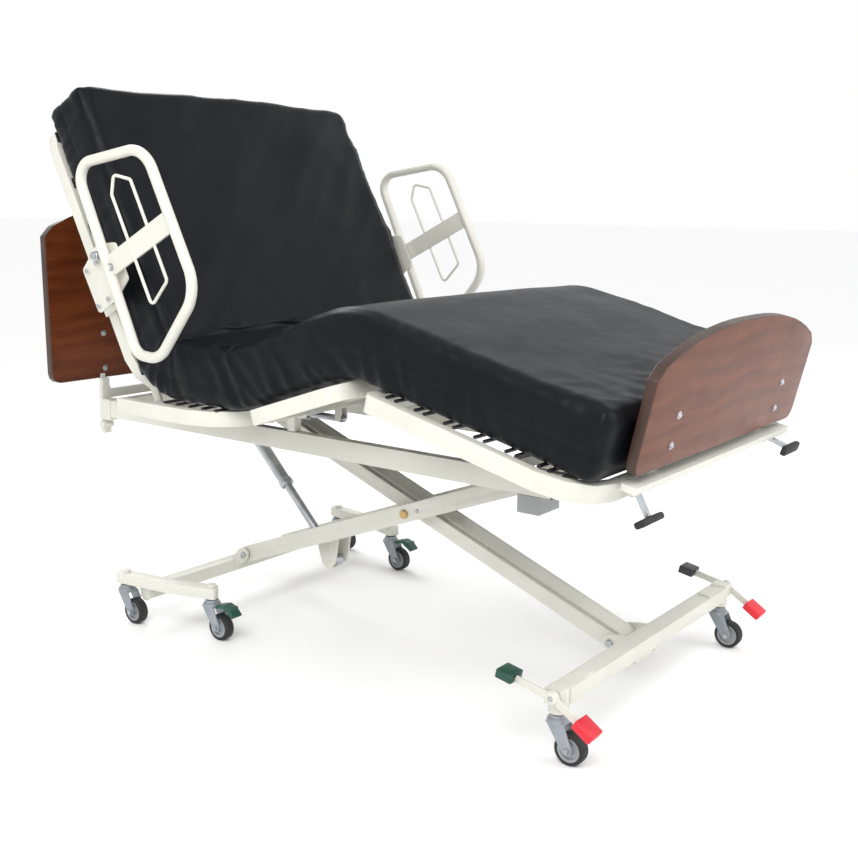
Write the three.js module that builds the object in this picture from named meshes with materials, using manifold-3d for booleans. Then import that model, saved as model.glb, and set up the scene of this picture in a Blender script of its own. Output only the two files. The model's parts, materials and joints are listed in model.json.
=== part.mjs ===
// An electric hospital bed on a scissor lift: castered base, retracting deck in four sections, panel ends,
// pivoting assist rails and a four-part mattress. Millimetres. +X runs to the foot, +Y to the patient's left.
import * as THREE from "three";
import { mergeVertices } from "three/addons/utils/BufferGeometryUtils.js";
import Module from "manifold-3d";

const wasm = await Module();
wasm.setup();

// Scissor lift: four pivots at two heights, so both arms keep one angle.
const LIFT_ANGLE = 20.84;
const LOWER_ARM = 677.3;
const UPPER_ARM = 587.5;
const FOOT_PIVOT = [766, 138];
const CROSSING = along(FOOT_PIVOT, 180 - LIFT_ANGLE, LOWER_ARM);
const HEAD_PIVOT = along(CROSSING, 180 + LIFT_ANGLE, LOWER_ARM);
const DECK_PIVOT = along(CROSSING, 180 - LIFT_ANGLE, UPPER_ARM);
const ROLLER_PIVOT = along(CROSSING, LIFT_ANGLE, UPPER_ARM);
const BEAM_DEPTH = 50;
const PIN = 8;

// Deck sections: hinge places, resting slopes and lengths.
const BACK_HINGE = [-426, 676];
const KNEE_HINGE = [-66, 676];
const BACK_ANGLE = 63;
const THIGH_ANGLE = 18.5;
const FOOT_ANGLE = 13.9;
const THIGH_LENGTH = 396.6;
const SHANK_HINGE = along(KNEE_HINGE, THIGH_ANGLE, THIGH_LENGTH);
const DECK_OUTER = 566;
const BACK_OUTER = 537;
const TUBE_WIDTH = 25;
const MATTRESS_HALF = 540;
const MATTRESS_LOW = 27;
const MATTRESS_HIGH = 192;

// Panel ends, casters and the lengthwise centring of the whole bed.
const BOARD_HALF = 457;
const BOARD_THICK = 25;
const WHEEL_RADIUS = 38;
const TRAIL = 36;
const CENTRE_SHIFT = 46.74;

// Finishes: colour, roughness, metalness.
const FINISHES = {
  cream: [0xe3e1d6, 0.42, 0.05],
  zinc: [0x9fa6ac, 0.38, 0.8],
  rubber: [0x1c1c1d, 0.8, 0],
  green: [0x0d3a2b, 0.5, 0],
  red: [0xc9182b, 0.45, 0],
  brass: [0xb08a4a, 0.35, 0.9],
  black: [0x17181a, 0.55, 0.1],
  cherry: [0x6a2413, 0.35, 0],
  grey: [0x8d9192, 0.5, 0.1],
  fabric: [0x14161b, 0.6, 0],
};

const bed = new THREE.Group();
bed.position.x = -CENTRE_SHIFT;

// ---- drawing helpers: sections in X and Z, slabs in X and Y, rods, tubes ----

function along([x, z], degrees, distance) {
  const angle = THREE.MathUtils.degToRad(degrees);
  return [x + distance * Math.cos(angle), z + distance * Math.sin(angle)];
}

function solid(geometry) {
  const loose = geometry.index ? geometry.toNonIndexed() : geometry.clone();
  const bare = new THREE.BufferGeometry().setAttribute("position", loose.getAttribute("position"));
  const merged = mergeVertices(bare, 1e-3);
  const vertProperties = new Float32Array(merged.attributes.position.array);
  const triVerts = new Uint32Array(merged.index.array);
  return new wasm.Manifold(new wasm.Mesh({ numProp: 3, vertProperties, triVerts }));
}

function join(...pieces) {
  return pieces.flat().reduce((whole, piece) => whole.add(piece));
}

function cut(body, ...tools) {
  return tools.flat().reduce((rest, tool) => rest.subtract(tool), body);
}

function mirrored(piece) {
  return piece.mirror([0, 1, 0]);
}

function pair(piece) {
  return [piece, mirrored(piece)];
}

function block([x0, x1], [y0, y1], [z0, z1]) {
  const geometry = new THREE.BoxGeometry(x1 - x0, y1 - y0, z1 - z0);
  return solid(geometry.translate((x0 + x1) / 2, (y0 + y1) / 2, (z0 + z1) / 2));
}

// A straight bar between two points of the XZ plane, filling a span of Y.
function bar(start, end, [y0, y1], depth) {
  const run = new THREE.Vector2(end[0] - start[0], end[1] - start[1]);
  const geometry = new THREE.BoxGeometry(run.length(), y1 - y0, depth);
  geometry.rotateY(-run.angle());
  return solid(geometry.translate((start[0] + end[0]) / 2, (y0 + y1) / 2, (start[1] + end[1]) / 2));
}

// A closed outline whose corners [a, b, radius] are rounded off.
function rounded(corners, steps = 3) {
  const points = [];
  corners.forEach(([a, b, radius = 0], i) => {
    const corner = new THREE.Vector2(a, b);
    if (!radius) {
      points.push(corner);
      return;
    }
    const before = new THREE.Vector2(...corners.at(i - 1).slice(0, 2)).sub(corner).normalize();
    const after = new THREE.Vector2(...corners[(i + 1) % corners.length].slice(0, 2)).sub(corner).normalize();
    const half = Math.acos(THREE.MathUtils.clamp(before.dot(after), -1, 1)) / 2;
    const inward = before.clone().add(after).normalize();
    const centre = corner.clone().addScaledVector(inward, radius / Math.sin(half));
    const first = corner.clone().addScaledVector(before, radius / Math.tan(half)).sub(centre);
    const turn = -Math.sign(before.cross(after)) * (Math.PI - 2 * half);
    for (let k = 0; k <= steps; k += 1) {
      const spoke = first.clone().rotateAround(new THREE.Vector2(), (turn * k) / steps);
      points.push(spoke.add(centre));
    }
  });
  return points;
}

function extruded(corners, depth, holes = []) {
  const shape = new THREE.Shape(rounded(corners));
  shape.holes = holes.map((hole) => new THREE.Path(rounded(hole)));
  return new THREE.ExtrudeGeometry(shape, { depth, bevelEnabled: false });
}

// An outline in XZ, extruded over a span of Y.
function section(corners, [y0, y1], holes) {
  return solid(extruded(corners, y1 - y0, holes).rotateX(Math.PI / 2).translate(0, y1, 0));
}

// An outline in XY, extruded over a span of Z.
function slab(corners, [z0, z1], holes) {
  return solid(extruded(corners, z1 - z0, holes).translate(0, 0, z0));
}

// An outline in YZ, extruded over a span of X.
function panel(corners, [x0, x1]) {
  const turned = new THREE.Matrix4().makeBasis(
    new THREE.Vector3(0, 1, 0),
    new THREE.Vector3(0, 0, 1),
    new THREE.Vector3(1, 0, 0),
  );
  return solid(extruded(corners, x1 - x0).applyMatrix4(turned).translate(x0, 0, 0));
}

function rod(from, to, radius, sides = 10) {
  const start = new THREE.Vector3(...from);
  const run = new THREE.Vector3(...to).sub(start);
  const geometry = new THREE.CylinderGeometry(radius, radius, run.length(), sides);
  geometry.translate(0, run.length() / 2, 0);
  geometry.applyQuaternion(
    new THREE.Quaternion().setFromUnitVectors(new THREE.Vector3(0, 1, 0), run.clone().normalize()),
  );
  return solid(geometry.translate(start.x, start.y, start.z));
}

// A pin along Y through a point of the XZ plane.
function pin([x, z], [y0, y1], radius, sides) {
  return rod([x, y0, z], [x, y1, z], radius, sides);
}

// A solid of revolution about a Y-wise axis, from [radius, y] pairs that start and end on the axis or close.
function turned(profile, [x, z], sides = 28) {
  const points = profile.map(([radius, y]) => new THREE.Vector2(radius, y));
  return solid(new THREE.LatheGeometry(points, sides).translate(x, 0, z));
}

// A path whose even parameter steps land on its points.
class Route extends THREE.Curve {
  constructor(points, closed) {
    super();
    this.points = points;
    this.closed = closed;
  }
  point(i) {
    const count = this.points.length;
    return this.points[this.closed ? (i + count) % count : Math.min(Math.max(i, 0), count - 1)];
  }
  getPointAt(t) {
    const place = t * (this.closed ? this.points.length : this.points.length - 1);
    const base = Math.floor(place + 1e-9);
    return this.point(base).clone().lerp(this.point(base + 1), Math.max(place - base, 0));
  }
  getTangentAt(t) {
    const i = Math.round(t * (this.closed ? this.points.length : this.points.length - 1));
    const before = this.point(i).clone().sub(this.point(i - 1));
    const after = this.point(i + 1).clone().sub(this.point(i));
    return before.normalize().add(after.normalize()).normalize();
  }
}

// A round tube bent into a closed loop in the XZ plane at one Y.
function loop(corners, y, radius, sides) {
  const points = rounded(corners, 4).map((p) => new THREE.Vector3(p.x, y, p.y));
  return solid(new THREE.TubeGeometry(new Route(points, true), points.length, radius, sides, true));
}

function add(name, body, finish, group = bed) {
  const { vertProperties, triVerts } = body.getMesh();
  const geometry = new THREE.BufferGeometry();
  geometry.setAttribute("position", new THREE.BufferAttribute(new Float32Array(vertProperties), 3));
  geometry.setIndex(new THREE.BufferAttribute(new Uint32Array(triVerts), 1));
  geometry.computeVertexNormals();
  const [color, roughness, metalness] = FINISHES[finish];
  const mesh = new THREE.Mesh(geometry, new THREE.MeshStandardMaterial({ color, roughness, metalness }));
  mesh.name = name;
  group.add(mesh);
}

function sides(make) {
  make("right", -1);
  make("left", 1);
}

// One side's piece, drawn for the left, mirrored for the right.
function onSide(side, piece) {
  return side < 0 ? mirrored(piece) : piece;
}

// ---- castered base ----

const CASTER_PLACES = [
  ["foot", 847, 447],
  ["mid", -324, 410],
  ["head", -620, 474],
];
const SHAFT = [852, 165];

function casterFork() {
  const leg = section([[-20, 96, 4], [24, 96, 6], [TRAIL + 13, WHEEL_RADIUS + 6, 9],
    [TRAIL + 8, WHEEL_RADIUS - 12, 9], [TRAIL - 10, WHEEL_RADIUS - 10, 9]], [17, 20.5]);
  const head = join(
    block([-20, 24], [-20.5, 20.5], [93, 98]),
    rod([0, 0, 97], [0, 0, 106], 23, 14),
    rod([0, 0, 105], [0, 0, 113], 18, 14),
    rod([0, 0, 112], [0, 0, 148], 9, 10),
  );
  const axle = pin([TRAIL, WHEEL_RADIUS], [-24, 24], 5, 10);
  const nut = pin([TRAIL, WHEEL_RADIUS], [20, 26], 8, 6);
  return join(head, ...pair(leg), axle, ...pair(nut));
}

function casterWheel() {
  const profile = [[5.8, -12], [28, -12], [31, -15], [WHEEL_RADIUS, -7], [WHEEL_RADIUS, 7], [31, 15], [28, 12],
    [5.8, 12], [5.8, -12]];
  return turned(profile, [0, 0], 20);
}

function lockPedal() {
  const outline = [[30, 104, 3], [62, 112, 4], [84, 106, 3], [88, 110, 2], [90, 100, 2], [106, 84, 3], [96, 78, 2],
    [80, 88, 4], [60, 101, 3], [30, 94, 2]];
  return section(outline, [-16, 16]);
}

for (const [end, x, y] of CASTER_PLACES) {
  sides((name, side) => {
    const place = new THREE.Group();
    place.position.set(x, side * y, 0);
    bed.add(place);
    add(`${name}_${end}_caster_fork`, casterFork(), "zinc", place);
    const hub = new THREE.Group();
    hub.position.set(TRAIL, 0, WHEEL_RADIUS);
    place.add(hub);
    add(`${name}_${end}_caster_wheel`, casterWheel(), "rubber", hub);
    if (end === "mid") add(`${name}_caster_lock_pedal`, lockPedal(), "green", place);
  });
}

function stemBore(x, y) {
  return rod([x, y, 100], [x, y, 151], 9.9, 10);
}

function footCrossbar() {
  const [, footX, footY] = CASTER_PLACES[0];
  const tube = block([823, 873], [-436, 436], [138, 176]);
  const socket = join(
    rod([footX, footY, 118], [footX, footY, 178], 24, 14),
    block([footX - 21, footX + 22], [434, 476], [142, 180]),
  );
  const lug = section([[748, 118, 14], [748, 158, 14], [790, 166, 6], [828, 170], [828, 142]], [52, 58]);
  const topPlate = block([834, 868], [330, 362], [175, 180]);
  const underBlock = block([834, 866], [18, 110], [125, 139]);
  const underMate = block([834, 866], [-70, 2], [125, 139]);
  const shaftWay = pin(SHAFT, [-500, 500], 7.5, 10);
  const whole = join(tube, ...pair(socket), ...pair(lug), ...pair(topPlate), mirrored(underBlock),
    mirrored(underMate), pin(FOOT_PIVOT, [-62, 62], PIN));
  return cut(whole, shaftWay, ...pair(stemBore(footX, footY)));
}

function brakeLever() {
  const hub = pin(SHAFT, [481, 491], 17, 14);
  const upper = bar([727, 190], SHAFT, [483, 489], 18);
  const lower = bar(SHAFT, [938, 112], [483, 489], 18);
  return cut(join(hub, upper, lower), pin(SHAFT, [400, 600], 6.8, 10));
}

// A moulded pad pushed over a lever's end.
function brakePad(from, to, thickness) {
  const cover = bar(from, to, [458, 508], thickness);
  return cut(cover, bar([727, 190], SHAFT, [482.6, 489.4], 18.8), bar(SHAFT, [938, 112], [482.6, 489.4], 18.8));
}

add("foot_crossbar", footCrossbar(), "cream");
add("brake_shaft", pin(SHAFT, [-496, 496], 6, 10), "zinc");
sides((name, side) => {
  add(`${name}_brake_lever`, onSide(side, brakeLever()), "cream");
  add(`${name}_unlock_pad`, onSide(side, brakePad([714, 195], [757, 187], 22)), "green");
  add(`${name}_lock_pad`, onSide(side, brakePad([918, 129], [962, 100], 22)), "red");
});

function headBase() {
  const sideBar = slab([[-652, 498, 12], [-648, 462, 8], [-455, 434, 40], [-318, 388, 10], [-296, 424, 8],
    [-455, 470, 40]], [118, 150]);
  const [, headX, headY] = CASTER_PLACES[2];
  const [, midX, midY] = CASTER_PLACES[1];
  const caps = [[headX, headY], [midX, midY]].map(([x, y]) => rod([x, y, 149], [x, y, 158], 14, 6));
  const crossbar = block([-575, -535], [-462, 462], [80, 118.5]);
  const gusset = section([[-585, 119], [-525, 119], [-545, 72, 6], [-565, 72, 6]], [456, 462]);
  const lug = section([[-575, 90], [-540, 90], [-482, 130, 14], [-486, 160, 14], [-520, 156, 10]], [106, 114]);
  const whole = join(crossbar, ...pair(join(sideBar, ...caps)), ...pair(gusset), ...pair(lug),
    pin(HEAD_PIVOT, [-118, 118], PIN));
  return cut(whole, ...pair(stemBore(headX, headY)), ...pair(stemBore(midX, midY)));
}

add("head_base", headBase(), "cream");

// ---- scissor lift ----

function beam(start, end, span, depth) {
  return join(bar(start, end, span, depth), pin(start, span, depth / 2, 12), pin(end, span, depth / 2, 12));
}

function innerArm() {
  const tube = beam(FOOT_PIVOT, DECK_PIVOT, [-28, 28], BEAM_DEPTH);
  const flat = bar(FOOT_PIVOT, DECK_PIVOT, [38, 48], 40);
  const ends = [FOOT_PIVOT, DECK_PIVOT].map((pivot) => pin(pivot, [38, 48], 20, 12));
  const spacers = [0.12, 0.5, 0.88].map((part) => {
    const place = along(FOOT_PIVOT, 180 - LIFT_ANGLE, (LOWER_ARM + UPPER_ARM) * part);
    return bar(place, along(place, 180 - LIFT_ANGLE, 60), [-40, 40], 24);
  });
  const top = along(along(CROSSING, 180 - LIFT_ANGLE, -46), 90 - LIFT_ANGLE, 22);
  const bracket = section([[top[0] - 34, top[1] - 6], [top[0] + 38, top[1] - 30], [top[0] + 10, top[1] + 34, 6],
    [top[0] - 12, top[1] + 40, 6]], [-14, 14]);
  const holes = [FOOT_PIVOT, CROSSING, DECK_PIVOT].map((pivot) => pin(pivot, [-60, 60], PIN + 0.6));
  return cut(join(tube, ...pair(join(flat, ...ends)), ...spacers, bracket), holes);
}

const ROD_PIVOT = [-212, 150];
const TUBE_PIVOT = [-640, 590];

function outerArm() {
  const plank = join(beam(HEAD_PIVOT, ROLLER_PIVOT, [74, 102], BEAM_DEPTH));
  const tieHead = pin(HEAD_PIVOT, [-80, 80], 10.5, 12);
  const tieMid = along(HEAD_PIVOT, LIFT_ANGLE, 300);
  const tie = bar(tieMid, along(tieMid, LIFT_ANGLE, 36), [-80, 80], 30);
  const near = along(HEAD_PIVOT, LIFT_ANGLE, 250);
  const far = along(HEAD_PIVOT, LIFT_ANGLE, 350);
  const hanger = section([[near[0], near[1]], [far[0], far[1]], [-190, 150, 18], [-214, 128, 18], [-240, 140, 16]],
    [24, 32]);
  const holes = [HEAD_PIVOT, CROSSING, ROLLER_PIVOT].map((pivot) => pin(pivot, [-120, 120], PIN + 0.6));
  const whole = join(...pair(plank), tieHead, tie, ...pair(hanger), pin(ROD_PIVOT, [-34, 34], PIN));
  return cut(whole, holes);
}

function trackRollers() {
  const wheel = pin(ROLLER_PIVOT, [236, 252], 16, 16);
  return join(pin(ROLLER_PIVOT, [-252, 252], PIN), ...pair(wheel));
}

function pivotPin() {
  const head = pin(CROSSING, [102.6, 109], 12, 14);
  return join(pin(CROSSING, [-106, 106], PIN), ...pair(head));
}

// The lift actuator runs from the hanger on the outer arm up to lugs under the deck frame.
const STROKE_ANGLE = THREE.MathUtils.radToDeg(
  Math.atan2(TUBE_PIVOT[1] - ROD_PIVOT[1], TUBE_PIVOT[0] - ROD_PIVOT[0]),
);

function onStroke(distance) {
  const [x, z] = along(ROD_PIVOT, STROKE_ANGLE, distance);
  return [x, 0, z];
}

function liftRod() {
  const eye = pin(ROD_PIVOT, [-16, 16], 19, 14);
  return cut(join(eye, rod(onStroke(10), onStroke(375), 13, 12)), pin(ROD_PIVOT, [-40, 40], PIN + 0.6));
}

function liftTube() {
  const length = Math.hypot(TUBE_PIVOT[0] - ROD_PIVOT[0], TUBE_PIVOT[1] - ROD_PIVOT[1]);
  const shell = join(rod(onStroke(length - 314), onStroke(length), 19, 14),
    rod(onStroke(length - 326), onStroke(length - 308), 22, 14), pin(TUBE_PIVOT, [-19, 19], 19, 14));
  return cut(shell, rod(onStroke(length - 340), onStroke(length - 45), 14, 12));
}

add("inner_lift_arm", innerArm(), "cream");
add("outer_lift_arm", outerArm(), "cream");
add("scissor_pivot_pin", pivotPin(), "brass");
add("track_rollers", trackRollers(), "zinc");
add("lift_actuator_tube", liftTube(), "zinc");
add("lift_actuator_rod", liftRod(), "zinc");

// ---- deck frame with its head panel ----

function mainFrame() {
  const rail = join(
    block([-930, 715], [260, 290], [556, 610]),
    block([600, 785], [234, 262], [607.5, 612]),
    block([600, 785], [234, 262], [563, 569]),
    block([700, 785], [256, 262], [563, 612]),
    block([-936, -900], [258, 292], [546, 612]),
  );
  const cross = [
    block([-930, -900], [-262, 262], [572, 608]),
    block([-475, -447], [-262, 262], [566, 598]),
    block([590, 620], [-288, 288], [609, 636]),
    block([-725, -695], [-262, 262], [566, 600]),
  ];
  const armLug = section([[-470, 568], [-395, 564, 18], [-395, 606, 14], [-470, 596]], [64, 72]);
  const actuatorLug = section([[-720, 568], [-622, 566, 16], [-622, 606, 16], [-720, 598]], [27, 33]);
  return join(...pair(rail), ...cross, ...pair(armLug), ...pair(actuatorLug), pin(DECK_PIVOT, [-76, 76], PIN));
}

// A board with rounded corners and a crowned top edge, drawn in YZ.
function board(low, high, crown, corner) {
  const top = [];
  const half = BOARD_HALF - corner;
  for (let k = 0; k <= 16; k += 1) {
    const y = half - (2 * half * k) / 16;
    top.push([y, high + crown * (1 - Math.pow(Math.abs(y) / half, 2.6))]);
  }
  const shoulder = high - corner;
  return [[BOARD_HALF, shoulder, 0], ...top, [-BOARD_HALF, shoulder, 0], [-BOARD_HALF, low, corner],
    [BOARD_HALF, low, corner]];
}

function headPosts() {
  const post = join(
    block([-954, -937], [261, 287], [500, 676]),
    section([[-954, 545], [-954, 640], [-938, 650], [-938, 545]], [257, 291]),
    block([-954.6, -950], [266, 282], [670, 690]),
    pin([-944, 528], [255, 293], 13, 14),
  );
  const tie = block([-953, -939], [-262, 262], [612, 640]);
  return join(...pair(post), tie);
}

add("main_frame", mainFrame(), "cream");
add("headboard", panel(board(676, 1150, 82, 30), [-980, -955]), "cherry");
add("headboard_posts", headPosts(), "cream");
add("control_box", block([620, 683], [-288, -190], [508, 555.5]), "grey");

// ---- seat carriage ----

// A tube hoop in plan: outer rectangle with rounded ends less the same shape one tube further in.
function hoop(x0, x1, half, cornerHead, cornerFoot, span) {
  const ring = (grow) => [[x0 - grow, half + grow, Math.max(cornerHead + grow, 0)],
    [x0 - grow, -half - grow, Math.max(cornerHead + grow, 0)], [x1 + grow, -half - grow, cornerFoot + grow],
    [x1 + grow, half + grow, cornerFoot + grow]];
  return slab(ring(0), span, [ring(-TUBE_WIDTH)]);
}

// Slats across a section, tied by three stringers beneath them.
function slats(x0, x1, count, half, z) {
  const bars = [];
  for (let k = 0; k < count; k += 1) {
    const x = x0 + ((x1 - x0) * k) / (count - 1);
    bars.push(block([x - 5, x + 5], [-half, half], [z - 6, z]));
  }
  const stringers = [-half * 0.62, 0, half * 0.62].map((y) => block([x0 - 5, x1 + 5], [y - 5, y + 5], [z - 12, z - 5]));
  return join(...bars, ...stringers);
}

function seatFrame() {
  const [hingeX, hingeZ] = BACK_HINGE;
  const [kneeX, kneeZ] = KNEE_HINGE;
  const rails = cut(hoop(-560, -85, DECK_OUTER, 0, 150, [656, 696]), block([-561, -510], [-541.5, 541.5], [600, 700]));
  const open = cut(rails, block([-561, -511], [-600, 600], [600, 700]));
  const bars = [block([-373, -348], [-545, 545], [660, 684]), block([-135, -104], [-400, 400], [660, 684])];
  const backLug = section([[hingeX - 14, hingeZ - 16, 8], [hingeX - 14, hingeZ + 14, 8], [-360, 684], [-360, 661]],
    [492, 499]);
  const kneeLug = section([[-105, 660], [-105, 690], [kneeX + 20, kneeZ + 19, 12], [kneeX + 20, kneeZ - 20, 12]],
    [300, 308]);
  const shoe = join(block([-380, -300], [262, 288], [611, 640]), block([-384, -361], [264, 286], [639, 662]));
  const rearShoe = block([-134, -106], [262, 288], [611, 662]);
  const backMount = join(block([-132, -108], [128, 152], [618, 662]));
  const kneeMount = block([-384, -362], [-152, -128], [618, 662]);
  return cut(join(open, ...bars, ...pair(backLug), ...pair(kneeLug), ...pair(shoe), ...pair(rearShoe), backMount,
    kneeMount), ...pair(pin(BACK_HINGE, [480, 520], 10.6)), ...pair(pin(KNEE_HINGE, [290, 320], 13.4)));
}

// An actuator lying along X: a tube fixed to the carriage with its rod pushing a crank.
function deckActuator(mountX, reach, y) {
  const away = Math.sign(reach);
  const z = 632;
  const mouth = mountX + away * 185;
  const tube = cut(rod([mountX + away * 13, y, z], [mouth, y, z], 18, 14),
    rod([mountX + away * 40, y, z], [mouth + away * 9, y, z], 11, 12));
  const shaft = rod([mountX + away * 105, y, z], [mountX + reach, y, z], 10, 12);
  return [tube, join(shaft, rod([mountX + reach, y - 9, z], [mountX + reach, y + 9, z], 10, 12))];
}

const [backTube, backRod] = deckActuator(-120, -338, 140);
const [kneeTube, kneeRod] = deckActuator(-373, 311, -140);
add("seat_frame", seatFrame(), "cream");
add("seat_slats", slats(-345, -150, 5, 538, 702), "black");
add("back_actuator_tube", backTube, "grey");
add("back_actuator_rod", backRod, "zinc");
add("knee_actuator_tube", kneeTube, "grey");
add("knee_actuator_rod", kneeRod, "zinc");

// ---- raised sections, each drawn flat about its own hinge ----

function tilted([x, z], degrees) {
  const group = new THREE.Group();
  group.position.set(x, 0, z);
  group.rotation.y = THREE.MathUtils.degToRad(degrees);
  bed.add(group);
  return group;
}

const back = tilted(BACK_HINGE, BACK_ANGLE);
const thigh = tilted(KNEE_HINGE, -THIGH_ANGLE);
const foot = tilted(SHANK_HINGE, FOOT_ANGLE);

// Two crank plates that straddle an actuator rod, turned back to hang upright at the section's slope.
function crank(y, degrees) {
  const end = along([0, 0], -90 + degrees, 46);
  return [y - 16, y + 12].map((low) => bar([0, 0], end, [low, low + 4], 20));
}

function backrestFrame() {
  const ring = hoop(-860, -36, BACK_OUTER, 90, 110, [-16, 20]);
  const hinge = pin([0, 0], [-506, 506], 10);
  const plate = section([[-70, -14], [-70, 16], [8, 12, 8], [8, -12, 8]], [482, 489]);
  const inner = block([-60, 0], [226, 238], [-9, 9]);
  return join(ring, hinge, ...pair(plate), ...pair(inner), ...crank(140, BACK_ANGLE - 4));
}

function thighFrame() {
  const ring = hoop(70, 386, DECK_OUTER, 20, 60, [-18, 21]);
  const hinge = pin([0, 0], [-318, 318], 12);
  const link = block([0, 80], [322, 334], [-9, 9]);
  const stay = block([-4, 374], [230, 244], [-8, 8]);
  const kneeLug = section([[380, -14], [380, 14], [THIGH_LENGTH + 10, 11, 8], [THIGH_LENGTH + 10, -11, 8]], [350, 358]);
  const bars = [120, 190, 260, 330].map((x) => block([x - 5, x + 5], [-545, 545], [14, 20]));
  const long = block([110, 340], [-6, 6], [8, 15]);
  const whole = join(ring, hinge, ...pair(stay), ...pair(kneeLug), ...bars, long, ...crank(-140, -THIGH_ANGLE));
  return cut(join(whole, ...pair(join(link, block([-4, 8], [300 + 12, 334], [-9, 9])))),
    ...pair(pin([THIGH_LENGTH, 0], [340, 370], 10.6)));
}

function footFrame() {
  const ring = hoop(62, 668, DECK_OUTER, 18, 130, [-24, 20]);
  const hinge = pin([0, 0], [-366, 366], 10);
  const stay = block([-4, 80], [318, 332], [-9, 9]);
  const bars = [block([560, 590], [-545, 545], [-20, 4])];
  return join(ring, hinge, ...pair(stay), ...bars);
}

// Slats lie in close pairs over the foot section.
function footSlats() {
  const bars = [];
  for (let x = 110; x < 560; x += 84) {
    bars.push(block([x - 4, x + 4], [-541, 541], [20.3, 26]));
    bars.push(block([x + 22, x + 30], [-541, 541], [20.3, 26]));
  }
  const stringers = [-330, 330].map((y) => block([106, 560], [y - 5, y + 5], [14, 21]));
  return join(...bars, ...stringers);
}

add("backrest_frame", backrestFrame(), "cream", back);
add("back_slats", join(...[-800, -660, -520, -380, -240, -100].map((x) => block([x - 14, x + 14], [-530, 530],
  [20.3, 25])), block([-812, -90], [-200, -190], [14, 21]), block([-812, -90], [190, 200], [14, 21])), "black", back);
add("thigh_frame", thighFrame(), "cream", thigh);
add("foot_frame", footFrame(), "cream", foot);
add("foot_slats", footSlats(), "black", foot);

// ---- foot panel, its bracket and levers ----

const FOOT_BOARD_TILT = 12.3;
const panelGroup = tilted([983, 687], FOOT_BOARD_TILT);

const LEVER_HINGE = [4, -50];

function footBracket() {
  const rail = block([-2, 34], [-445, 445], [-38, -22]);
  const upright = block([-6, -0.4], [285, 325], [-38, 140]);
  const foot = block([-6, 0], [285, 325], [-38, -22]);
  const ears = [352, 389].map((y) => section([[-8, -30], [16, -30], [14, -62, 8], [-6, -62, 8]], [y, y + 9]));
  return join(rail, ...pair(join(upright, foot, ...ears, pin(LEVER_HINGE, [349, 401], 6, 12))));
}

function footLever(degrees) {
  const end = along(LEVER_HINGE, degrees, 62);
  const whole = join(pin(LEVER_HINGE, [363, 387], 11, 12), bar(LEVER_HINGE, end, [369, 381], 12));
  return cut(whole, pin(LEVER_HINGE, [350, 400], 6.6, 12));
}

function leverPad(degrees) {
  const root = along(LEVER_HINGE, degrees, 62.4);
  return bar(root, along(root, degrees, 16), [325, 425], 26);
}

add("footboard", panel(board(0, 240, 70, 30), [0, BOARD_THICK]), "cherry", panelGroup);
add("footboard_bracket", footBracket(), "cream", panelGroup);
sides((name, side) => {
  const drop = side < 0 ? -49 : -7;
  add(`${name}_foot_lever`, onSide(side, footLever(drop)), "zinc", panelGroup);
  add(`${name}_foot_lever_pad`, onSide(side, leverPad(drop)), "rubber", panelGroup);
});

// ---- assist rails ----

const RAIL_PLANE = 628;
const RAIL_HINGE = [-342, 170];
const KNOB = [-394, 128];

function assistRail() {
  const outer = loop([[-634, 172, 50], [-544, 440, 85], [-156, 440, 95], [-60, 226, 75], [-106, 150, 50]],
    RAIL_PLANE, 14, 8);
  const inner = join(
    rod([-222, RAIL_PLANE, 353], [-500, RAIL_PLANE, 353], 4, 6),
    rod([-500, RAIL_PLANE, 353], [-540, RAIL_PLANE, 300], 4, 6),
    rod([-540, RAIL_PLANE, 300], [-500, RAIL_PLANE, 268], 4, 6),
    rod([-500, RAIL_PLANE, 268], [-190, RAIL_PLANE, 268], 4, 6),
    rod([-190, RAIL_PLANE, 268], [-222, RAIL_PLANE, 353], 4, 6),
  );
  const strap = section([[-376, 160, 12], [-318, 160, 12], [-318, 436, 6], [-376, 436, 6]], [622, 630]);
  const boss = pin(RAIL_HINGE, [613, 624], 17, 14);
  return cut(join(outer, inner, strap, boss), pin(RAIL_HINGE, [600, 640], PIN + 0.6));
}

function assistBracket() {
  const plate = section([[-398, 30, 10], [-432, 120, 14], [-404, 190, 12], [-300, 190, 10], [-272, 118, 10],
    [-268, 34, 10]], [600, 606]);
  const foot = join(section([[-392, -16], [-392, 56, 8], [-276, 56, 8], [-276, -16]], [541.5, 548]),
    block([-386, -282], [537.4, 543], [-14, 19]));
  const bridge = block([-380, -288], [543, 604], [34, 48]);
  const studs = [[-388, 98], [-385, 53], [-284, 97], [-284, 50]].map((place) => pin(place, [604, 613], 7, 6));
  return cut(join(plate, foot, bridge, ...studs, pin(RAIL_HINGE, [600, 640], PIN)), pin(KNOB, [590, 610], 6));
}

function latchKnob() {
  return join(pin(KNOB, [596, 616], 5.4, 12), pin(KNOB, [610, 634], 13, 14), pin(KNOB, [632, 641], 10, 14));
}

sides((name, side) => {
  add(`${name}_assist_rail`, onSide(side, assistRail()), "cream", back);
  add(`${name}_assist_bracket`, onSide(side, assistBracket()), "cream", back);
  add(`${name}_latch_knob`, onSide(side, latchKnob()), "zinc", back);
});

// ---- mattress, cut where the deck folds ----

function cushion(lowX, highX, name, group, base) {
  const outline = [[lowX(MATTRESS_LOW), base + MATTRESS_LOW], [lowX(MATTRESS_HIGH), base + MATTRESS_HIGH],
    [highX(MATTRESS_HIGH), base + MATTRESS_HIGH], [highX(MATTRESS_LOW), base + MATTRESS_LOW]];
  add(name, section(outline, [-MATTRESS_HALF, MATTRESS_HALF]), "fabric", group);
}

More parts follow.
